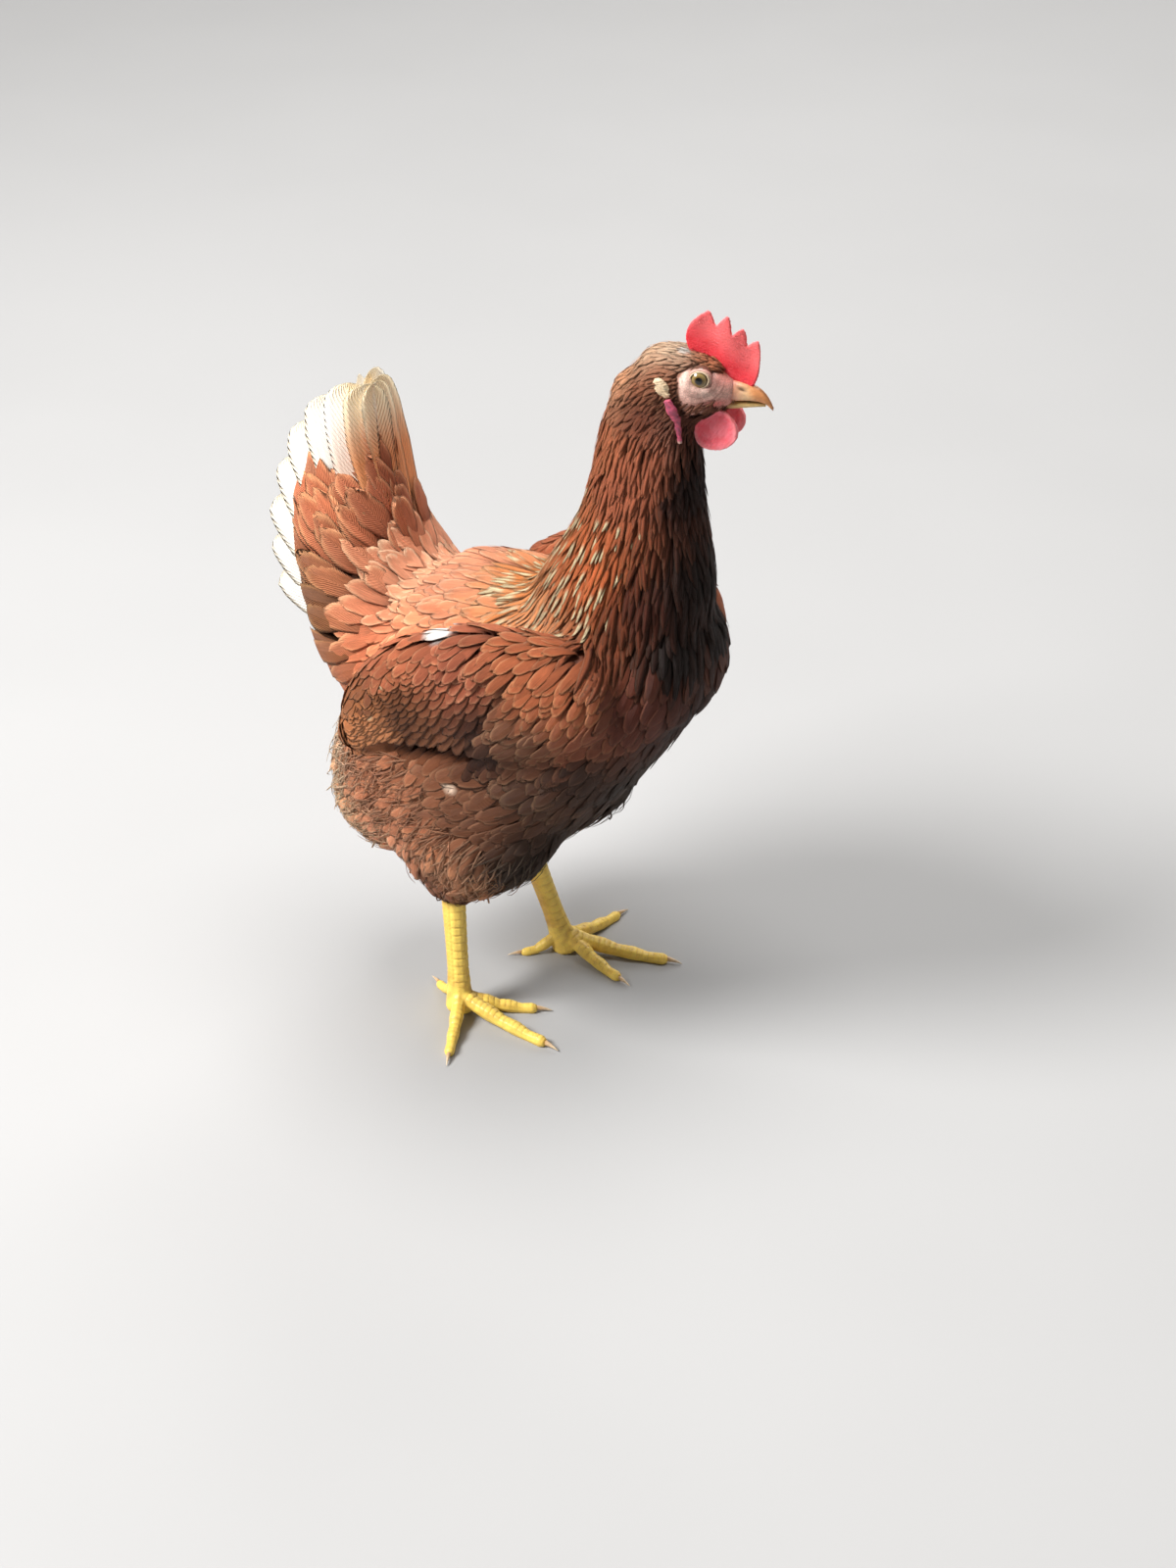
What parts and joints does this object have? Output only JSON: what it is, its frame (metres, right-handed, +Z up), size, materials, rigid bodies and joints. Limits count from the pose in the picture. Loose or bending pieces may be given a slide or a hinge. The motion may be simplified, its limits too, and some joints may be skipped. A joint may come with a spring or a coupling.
{
  "type": "hen",
  "caption": "Life-size red-brown laying hen standing alert, head turned slightly to its left, pale tail raised, wings folded.",
  "frame": {"origin": "on the floor, at the middle of the hen's box seen from above, between its feet", "axes": "+X forward along the body, +Y to the hen's left, +Z up"},
  "size_m": [0.2648, 0.1706, 0.4102],
  "materials": {
    "plumage": "soft red-brown feathers with paler edges, white and buff on the tail",
    "face": "bare pinkish skin with short brown feathers",
    "comb_skin": "fine-grained red skin",
    "lobe_skin": "soft cream skin",
    "horn": "satin horn, dark streak along the ridge",
    "eye": "wet gloss, olive-brown iris",
    "leg_scales": "yellow scales, satin",
    "claw": "satin horn"
  },
  "bodies": {
    "root": {"trunk": "plumage", "neck": "plumage", "tail": "plumage", "wing_right": "plumage", "wing_left": "plumage", "thigh_right": "plumage", "thigh_left": "plumage", "head": "face", "comb": "comb_skin", "wattle_right": "comb_skin", "wattle_left": "comb_skin", "earlobe_right": "lobe_skin", "earlobe_left": "lobe_skin", "beak_upper": "horn", "beak_lower": "horn", "eye_right": "eye", "eye_left": "eye", "shank_right": "leg_scales", "shank_left": "leg_scales", "toe_inner_right": "leg_scales", "toe_middle_right": "leg_scales", "toe_outer_right": "leg_scales", "toe_back_right": "leg_scales", "toe_inner_left": "leg_scales", "toe_middle_left": "leg_scales", "toe_outer_left": "leg_scales", "toe_back_left": "leg_scales", "claw_inner_right": "claw", "claw_middle_right": "claw", "claw_outer_right": "claw", "claw_back_right": "claw", "claw_inner_left": "claw", "claw_middle_left": "claw", "claw_outer_left": "claw", "claw_back_left": "claw"}
  },
  "joints": []
}
